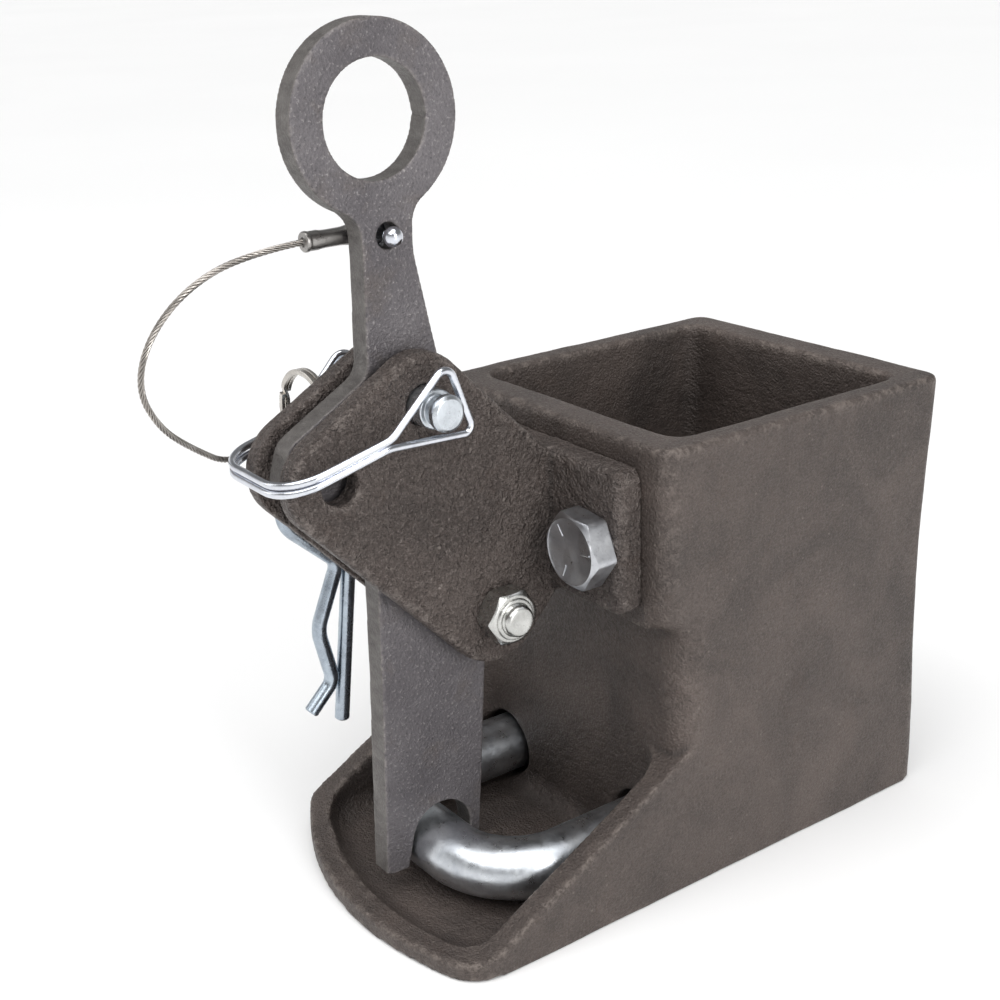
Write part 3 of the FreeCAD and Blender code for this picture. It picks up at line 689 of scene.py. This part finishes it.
def make_sleeve():
    """Crimped sleeve at the cable's near end."""
    start = Vector(CABLE_ROUTE[0])
    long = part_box("lanyard_sleeve")[1].y - start.y
    radius = 3.2 * MM
    corners = [
        (0.7 * MM, CABLE_RADIUS + 0.25 * MM),
        (0.0, CABLE_RADIUS + 0.5 * MM),
        (0.1 * MM, radius * 0.97),
        (1.2 * MM, radius),
        (1.9 * MM, radius * 0.93),
        (long - 1.2 * MM, radius * 0.97),
        (long, radius * 0.6),
    ]
    profile = divided_profile(soft_profile(corners, 0.5 * MM), 0.6 * MM)
    barrel = turned(start, Y_AXIS, profile, 40, crimped(0.2 * long, 0.62 * long, 0.12))
    return add_piece("crimped_sleeve", new_mesh("crimped_sleeve", *barrel), "handle", SWAGED,
                     ["lanyard_sleeve"])


def make_lanyard():
    line, length = evenly(route_points(CABLE_ROUTE, 24), 0.45 * MM)
    mesh = new_mesh("lanyard_strands", *twisted_strands(line, CABLE_RADIUS, CABLE_STRANDS, CABLE_PITCH))
    cable = bpy.data.objects.new("lanyard_strands", mesh)
    bpy.context.scene.collection.objects.link(cable)
    mesh.materials.append(STRAND)
    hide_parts("lanyard_cable")
    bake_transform(cable)

    end = Vector(CABLE_ROUTE[-1])
    direction = (end - Vector(CABLE_ROUTE[-2])).normalized()
    long = FERRULE_LENGTH
    corners = [(0, 1.2 * MM), (0, FERRULE_RADIUS), (long, FERRULE_RADIUS), (long, 1.2 * MM)]
    profile = divided_profile(soft_profile(corners, 0.5 * MM), 0.4 * MM)
    barrel = turned(end, direction, profile, 32, crimped(0.25 * long, 0.75 * long, 0.16))
    ferrule = add_piece("crimped_ferrule", new_mesh("crimped_ferrule", *barrel), "housing", SWAGED,
                        ["lanyard_ferrule"])

    centre = end + direction * (long + EYE_RADIUS - CABLE_RADIUS / 2)
    low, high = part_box("split_ring")
    outward = centre - (low + high) / 2
    along_band = Y_AXIS.cross(outward)
    normal = (along_band - direction * along_band.dot(direction)).normalized()
    across = normal.cross(direction)
    gap = 0.32
    steps = 80
    loop = []
    for step in range(steps + 1):
        angle = gap + (2 * math.pi - 2 * gap) * step / steps
        ahead = direction * (EYE_RADIUS * math.cos(angle))
        loop.append(centre - ahead + across * (EYE_RADIUS * math.sin(angle)))
    eye_mesh = new_mesh("cable_eye", *twisted_strands(loop, CABLE_RADIUS, CABLE_STRANDS, CABLE_PITCH))
    eye = add_piece("cable_eye", eye_mesh, "housing", STRAND, ["lanyard_eye"])
    make_sleeve()


def divided_profile(profile, longest):
    """The same profile with its long runs divided."""
    line = divided([Vector((along, reach, 0)) for along, reach in profile], longest)
    return [(point.x, point.y) for point in line]


# -------------------------------------------------------------- cast pieces


HOUSING_BACK_Y = 65.2 * MM


def blended_ledge(points, mean):
    """Softens the front corners where the pad's lower edge runs out into the sides."""
    x, y, z = points.T / MM
    share = np.clip((np.abs(x) - 51) / 4, 0, 1) * np.clip((-48 - y) / 4, 0, 1)
    share = (share * np.clip((18 - np.abs(z - 98)) / 5, 0, 1))[:, None]
    for _ in range(60):
        points = points + 0.6 * share * (mean(points) - points)
    return points


def make_housing():
    """The casting, with a shallow waist in its back face and a rounded edge under it."""
    mesh = dense_copy("coupler_housing", "housing_casting", 1.2 * MM, 2)
    points = numpy_points(mesh)
    _, y, z = points.T
    share = np.clip((y - 52 * MM) / (13.2 * MM), 0, 1)
    waist = 4.3 * MM * np.exp(-(((z - 88 * MM) / (55 * MM)) ** 2))
    edge = 5 * MM
    out_y = np.maximum(y - (HOUSING_BACK_Y - edge), 0)
    out_z = np.maximum(edge - z, 0)
    reach = np.hypot(out_y, out_z)
    corner = (out_y > 0) & (out_z > 0) & (reach > edge)
    pull = np.where(corner, edge / np.maximum(reach, 1e-9), 1.0)
    points[:, 1] = y - out_y * (1 - pull) - waist * share * share * (3 - 2 * share)
    points[:, 2] = z + out_z * (1 - pull)
    points = blended_ledge(points, neighbour_mean(mesh))
    mesh.vertices.foreach_set("co", points.ravel())
    push(mesh, uneven(mesh, 42 * MM, 0.32 * MM, 3) + uneven(mesh, 7 * MM, 0.06 * MM, 9) - 0.16 * MM)
    keep_inside(mesh, "coupler_housing")
    mark_edges(mesh, 3, 0.16 * MM)
    add_piece("housing_casting", mesh, "housing", CAST_BODY, ["coupler_housing"])


def make_bracket():
    mesh = dense_copy("handle_bracket", "bracket_casting", 0.75 * MM, 2)
    push(mesh, uneven(mesh, 22 * MM, 0.18 * MM, 5) + uneven(mesh, 2.6 * MM, 0.1 * MM, 6, 2) - 0.06 * MM)
    mark_edges(mesh, 4, 0.14 * MM)
    add_piece("bracket_casting", mesh, "housing", CAST_BRACKET, ["handle_bracket"])


def make_handle():
    """The plate, its ring trued to round, with a nick in the ring's bore."""
    mesh = dense_copy("release_handle", "handle_plate", 0.55 * MM, 1)
    points = numpy_points(mesh)
    across = points[:, 1] - RING_CENTRE[0] * MM
    above = points[:, 2] - RING_CENTRE[1] * MM
    reach = np.hypot(across, above)
    turn = np.arctan2(above, across)
    flank = np.abs(points[:, 0]) < 3.9 * MM
    for radius in (RING_INNER * MM, RING_OUTER * MM):
        scale = np.where(flank & (np.abs(reach - radius) < 0.25 * MM), radius / reach, 1.0)
        across, above = across * scale, above * scale
    points[:, 1] = across + RING_CENTRE[0] * MM
    points[:, 2] = above + RING_CENTRE[1] * MM
    mesh.vertices.foreach_set("co", points.ravel())
    near_bore = np.abs(reach - RING_INNER * MM) < 1.6 * MM
    nick = near_bore * np.exp(-(((turn + 0.02) * reach / (0.8 * MM)) ** 2))
    push(mesh, uneven(mesh, 24 * MM, 0.07 * MM, 12) - nick * 0.45 * MM)
    mark_edges(mesh, 2, 0.12 * MM)
    add_piece("handle_plate", mesh, "handle", HANDLE_PLATE, ["release_handle"])


# ------------------------------------------------------------ bars and wires

# Yoke, in millimetres
YOKE_RADIUS = 11.1
YOKE_BEND = 28.0
LEG_X = 38.5
LEG_Z = 15.0
YOKE_FRONT_Y = -118.0
LEG_TIP_Y = -15.0


def make_yoke():
    """Bent bar, slightly flattened where it was bent."""
    corners = [at(-LEG_X, LEG_TIP_Y, LEG_Z), at(-LEG_X, YOKE_FRONT_Y, LEG_Z), at(LEG_X, YOKE_FRONT_Y, LEG_Z),
               at(LEG_X, LEG_TIP_Y, LEG_Z)]
    bend = YOKE_BEND * MM
    line = divided(rounded_line(corners, [0, bend, bend, 0], math.radians(3)), 2.5 * MM)

    def oval(tangent):
        bent = abs(tangent.x * tangent.y) * 2
        return 1.0, 1.0 - 0.045 * bent

    mesh = new_mesh("yoke_bar", *sweep(line, YOKE_RADIUS * MM, 72, 1.6 * MM, oval))
    push(mesh, uneven(mesh, 20 * MM, 0.08 * MM, 21) - 0.03 * MM)
    add_piece("yoke_bar", mesh, "yoke", ZINC_BAR, ["locking_yoke"])


# Lock pin's wire, in millimetres
WIRE_RADIUS = 1.25
WIRE_NEAR_X = 23.4
WIRE_FAR_X = -26.5
WIRE_BEND = (21.0, -175.2, 162.4)


def make_lock_pin_wire():
    """One sprung wire, doubled round the front of the ears and looped round both pin ends."""
    gap = WIRE_RADIUS + 0.1
    near, far = WIRE_NEAR_X, WIRE_FAR_X
    bend_x, bend_y, bend_z = WIRE_BEND
    corners = [
        (far, -109.5, 170.1, 0),
        (far, -110.9, 167.8, 2.6),
        (far, -141.9, 167.1 - gap, 12),
        (-bend_x, bend_y, bend_z - gap, 14),
        (bend_x, bend_y, bend_z - gap, 14),
        (near, -141.0, 171.9 - gap, 10),
        (near, -110.2, 169.2, 2.6),
        (near, -119.2, 193.0, 3.4),
        (near, -140.0, 171.9 + gap, 8),
        (bend_x, bend_y, bend_z + gap, 14),
        (-bend_x, bend_y, bend_z + gap, 14),
        (far, -145.8, 167.1 + gap, 6),
        (far, -126.9, 188.3, 4.5),
        (far, -111.5, 179.6, 0),
    ]
    points = [at(x, y, z) for x, y, z, _ in corners]
    line = divided(rounded_line(points, [radius * MM for *_, radius in corners]), 3 * MM)
    mesh = new_mesh("sprung_wire", *sweep(line, WIRE_RADIUS * MM, 24, 0.3 * MM))
    add_piece("sprung_wire", mesh, "lock_pin", BRIGHT_WIRE, ["lock_pin_wire"])


def make_hairpin():
    outline = [
        (-134.0, 55.2, 0),
        (-121.3, 156.8, 13.4),
        (-149.9, 156.8, 13.4),
        (-150.4, 132.2, 10),
        (-131.1, 114.6, 5),
        (-140.8, 91.7, 13),
        (-136.3, 71.3, 6),
        (-146.2, 61.5, 0),
    ]
    points = [at(-31.0, y, z) for y, z, _ in outline]
    line = divided(rounded_line(points, [radius * MM for *_, radius in outline], math.radians(4)), 4 * MM)
    mesh = new_mesh("hairpin_wire", *sweep(line, 2.6 * MM, 32, 0.5 * MM))
    add_piece("hairpin_wire", mesh, "hairpin", ZINC_WIRE, ["hairpin_clip"])


def make_split_ring():
    """Flat band wound twice, its turns side by side, crossing over at one place."""
    low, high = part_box("split_ring")
    centre = (low + high) / 2
    mean_radius = (high.x - low.x) / 2 - 1.0 * MM
    half_wide, half_thick = 0.78 * MM, 0.9 * MM
    turn_spacing = 1.96 * MM
    start = math.radians(160)
    total = math.radians(716)
    crossing = math.radians(26)
    half_section = ((-1, -0.6), (-0.7, -1), (0.7, -1), (1, -0.6))
    section = half_section + tuple((-wide, -thick) for wide, thick in half_section)
    rings = []
    steps = 300
    for step in range(steps + 1):
        turned_by = total * step / steps
        share = min(1.0, max(0.0, (turned_by - total / 2) / crossing + 0.5))
        shift = (share * share * (3 - 2 * share) - 0.5) * turn_spacing
        angle = start + turned_by
        out = Vector((math.cos(angle), 0, math.sin(angle)))
        ring = []
        for wide, thick in section:
            reach = mean_radius + thick * half_thick
            ring.append(centre + out * reach + Y_AXIS * (shift + wide * half_wide))
        rings.append(ring)
    mesh = new_mesh("split_ring_coil", *skin(rings))
    add_piece("split_ring_coil", mesh, "split_ring", NICKEL, ["split_ring"])


# ------------------------------------------------------- fasteners and pins


def make_bracket_bolt(side, node):
    """Hexagon bolt with its washer face, three grade marks and a rolled thread."""
    low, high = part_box(node)
    flats = 23.8 * MM
    height = 9.8 * MM
    shank_radius = 7.9 * MM
    seat_y = low.y + height
    seat = Vector(((low.x + high.x) / 2, seat_y, (low.z + high.z) / 2))
    face = flats / 2 * 0.96
    parts = [hex_head(seat, -Y_AXIS, flats, height, face, math.radians(-6))]
    length = high.y - seat_y
    profile = [(-0.4 * MM, shank_radius), (0.3 * length, shank_radius)]
    profile += thread(0.32 * length, length - 1.2 * MM, shank_radius - 0.02 * MM, 1.75 * MM)
    profile += [(length, shank_radius - 1.2 * MM)]
    parts.append(turned(seat, Y_AXIS, profile, 48))
    for mark in range(3):
        angle = math.radians(100 + 120 * mark) + 0.5 * side
        along = X_AXIS * math.cos(angle) + Z_AXIS * math.sin(angle)
        middle = seat - Y_AXIS * (height - 0.3 * MM) + along * (face * 0.68)
        parts.append(raised_bar(middle, along, along.cross(Y_AXIS), -Y_AXIS, 4.2 * MM, 0.8 * MM, 0.28 * MM))
    mesh = new_mesh(node + "_forged", *joined(parts))
    add_piece(node + "_forged", mesh, "housing", ZINC_BOLT, [node])


def make_pivot_fasteners():
    centre = at(0, *PIVOT)
    flats = 17.5 * MM
    radius = 5.5 * MM
    outer = EAR_OUTER_X * MM
    head_high = 7.2 * MM
    nut_high = 8.6 * MM
    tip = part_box("pivot_bolt")[1].x
    head = hex_head(centre - X_AXIS * outer, -X_AXIS, flats, head_high, flats / 2 * 0.95, 0.0)
    profile = [(-outer - 1.0 * MM, radius), (outer + 1.0 * MM, radius)]
    profile += thread(outer + 1.4 * MM, tip - 1.4 * MM, radius - 0.02 * MM, 1.5 * MM)
    profile += [(tip - 0.9 * MM, radius - 0.15 * MM), (tip - 0.25 * MM, radius - 0.55 * MM),
                (tip, radius - 1.1 * MM), (tip - 0.12 * MM, radius - 2.2 * MM)]
    shank = turned(centre, X_AXIS, profile, 48)
    mesh = new_mesh("pivot_bolt_forged", *joined([head, shank]))
    add_piece("pivot_bolt_forged", mesh, "housing", ZINC_NUT, ["pivot_bolt"])

    seat = centre + X_AXIS * outer
    bore = radius + 0.02 * MM
    hexagon = hex_head(seat, X_AXIS, flats, nut_high, flats / 2 * 0.93, 0.0, True, bore)
    corners = [
        (8.2 * MM, bore),
        (8.2 * MM, 7.4 * MM),
        (9.5 * MM, 7.0 * MM),
        (9.6 * MM, bore + 0.3 * MM),
        (9.1 * MM, bore),
    ]
    crown = soft_profile(corners, 0.3 * MM)
    points, faces = turned(seat, X_AXIS, crown, 64)
    collar = points, faces[:-2]
    mesh = new_mesh("pivot_nut_forged", *joined([hexagon, collar]))
    add_piece("pivot_nut_forged", mesh, "housing", ZINC_NUT, ["pivot_nut"])


def make_lock_pin():
    """Turned pin with a groove at each end for the wire's loops."""
    low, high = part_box("lock_pin")
    centre = at(0, *PIN_HOLE)
    near, far = WIRE_NEAR_X * MM, WIRE_FAR_X * MM
    half, body, groove, end = 1.8 * MM, 6.3 * MM, 4.6 * MM, 5.8 * MM
    corners = [
        (low.x + 0.15 * MM, 1.0 * MM),
        (low.x, end - 1.1 * MM),
        (low.x + 0.9 * MM, end),
        (far - half, end),
        (far - half, groove),
        (far + half, groove),
        (far + half, body),
        (near - half, body),
        (near - half, groove),
        (near + half, groove),
        (near + half, end),
        (high.x - 0.9 * MM, end),
        (high.x, end - 1.1 * MM),
        (high.x - 0.15 * MM, 1.0 * MM),
    ]
    mesh = new_mesh("lock_pin_turned", *turned(centre, X_AXIS, soft_profile(corners, 0.45 * MM), 56))
    add_piece("lock_pin_turned", mesh, "lock_pin", ZINC_PIN, ["lock_pin"])


def make_tether_stud():
    low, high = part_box("lanyard_ball_stud")
    centre = at(0, *TETHER_HOLE)
    ball, shank = 3.1 * MM, 1.8 * MM
    middle = high.x - ball
    profile = [(low.x, shank * 0.6), (low.x + 0.3 * MM, shank), (-5.6 * MM, shank)]
    collar = [(-5.6 * MM, shank), (-5.6 * MM, 5.2 * MM), (-4.4 * MM, 5.2 * MM), (-4.4 * MM, shank)]
    profile += soft_profile(collar, 0.35 * MM)[1:]
    neck = math.asin(shank * 0.86 / ball)
    for step in range(19):
        angle = math.pi - neck - (math.pi - neck - 0.12) * step / 18
        profile.append((middle + ball * math.cos(angle), ball * math.sin(angle)))
    mesh = new_mesh("tether_stud_turned", *turned(centre, X_AXIS, profile, 40))
    add_piece("tether_stud_turned", mesh, "handle", BRIGHT_WIRE, ["lanyard_ball_stud"])


def finish_carried_nodes():
    """Finishes for the CAD nodes that stay: the bushing and the washers between the ears."""
    for node, material in (("pivot_bushing", TURNED_STEEL), ("thrust_washer_left", BRONZE),
                           ("thrust_washer_right", BRONZE)):
        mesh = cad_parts[node].data
        mesh.materials.clear()
        mesh.materials.append(material)


# ------------------------------------------------------------ floor and light


def make_floor():
    f = Finish("studio_floor")
    tint = f.mix(f.noise(0.6, 2.0), (0.86, 0.86, 0.86), (0.9, 0.9, 0.9))
    material = f.finish(tint, 0.9, f.bump(f.noise(0.02), 0.0001))
    half = 80.0
    level = -0.0002
    corners = [(-half, -half), (half, -half), (half, half), (-half, half)]
    mesh = bpy.data.meshes.new("floor")
    mesh.from_pydata([(x, y, level) for x, y in corners], [], [(0, 1, 2, 3)])
    mesh.materials.append(material)
    floor = bpy.data.objects.new("floor", mesh)
    bpy.context.scene.collection.objects.link(floor)


def add_softbox(name, place, aim, size, power):
    data = bpy.data.lights.new(name, "AREA")
    data.shape = "RECTANGLE"
    data.size, data.size_y = size
    data.energy = power
    light = bpy.data.objects.new(name, data)
    bpy.context.scene.collection.objects.link(light)
    toward = Vector(aim) - Vector(place)
    light.matrix_world = Matrix.Translation(place) @ toward.to_track_quat("-Z", "Y").to_matrix().to_4x4()


def make_lights():
    world = bpy.data.worlds.new("studio")
    bpy.context.scene.world = world
    world.use_nodes = True
    tree = world.node_tree
    sky = tree.nodes["Background"]
    sky.inputs["Color"].default_value = (1.0, 1.0, 1.0, 1.0)
    direction = tree.nodes.new("ShaderNodeTexCoord").outputs["Generated"]
    split = tree.nodes.new("ShaderNodeSeparateXYZ")
    fade = tree.nodes.new("ShaderNodeMapRange")
    for label, number in (("From Min", 0.1), ("From Max", 0.4), ("To Min", 0.97), ("To Max", 0.22)):
        fade.inputs[label].default_value = number
    tree.links.new(direction, split.inputs["Vector"])
    tree.links.new(split.outputs["Z"], fade.inputs["Value"])
    tree.links.new(fade.outputs["Result"], sky.inputs["Strength"])
    overhead = bpy.data.lights.new("overhead", "SUN")
    overhead.energy = 2.8
    overhead.angle = math.radians(70)
    lamp = bpy.data.objects.new("overhead", overhead)
    bpy.context.scene.collection.objects.link(lamp)
    lamp.matrix_world = Vector((0.15, -0.3, 1.0)).to_track_quat("Z", "Y").to_matrix().to_4x4()
    middle = (0, -0.05, 0.1)
    add_softbox("left_softbox", (-0.9, -1.1, 0.8), middle, (0.6, 0.9), 2.2)
    add_softbox("right_softbox", (1.3, -0.1, 0.6), middle, (0.5, 0.9), 9.5)
    bpy.context.scene.view_settings.view_transform = "Standard"


make_camera()
make_lanyard()
make_housing()
make_bracket()
make_handle()
make_yoke()
make_lock_pin()
make_lock_pin_wire()
make_split_ring()
make_hairpin()
make_bracket_bolt(-1, "bracket_bolt_left")
make_bracket_bolt(1, "bracket_bolt_right")
make_pivot_fasteners()
make_tether_stud()
finish_carried_nodes()
make_floor()
make_lights()
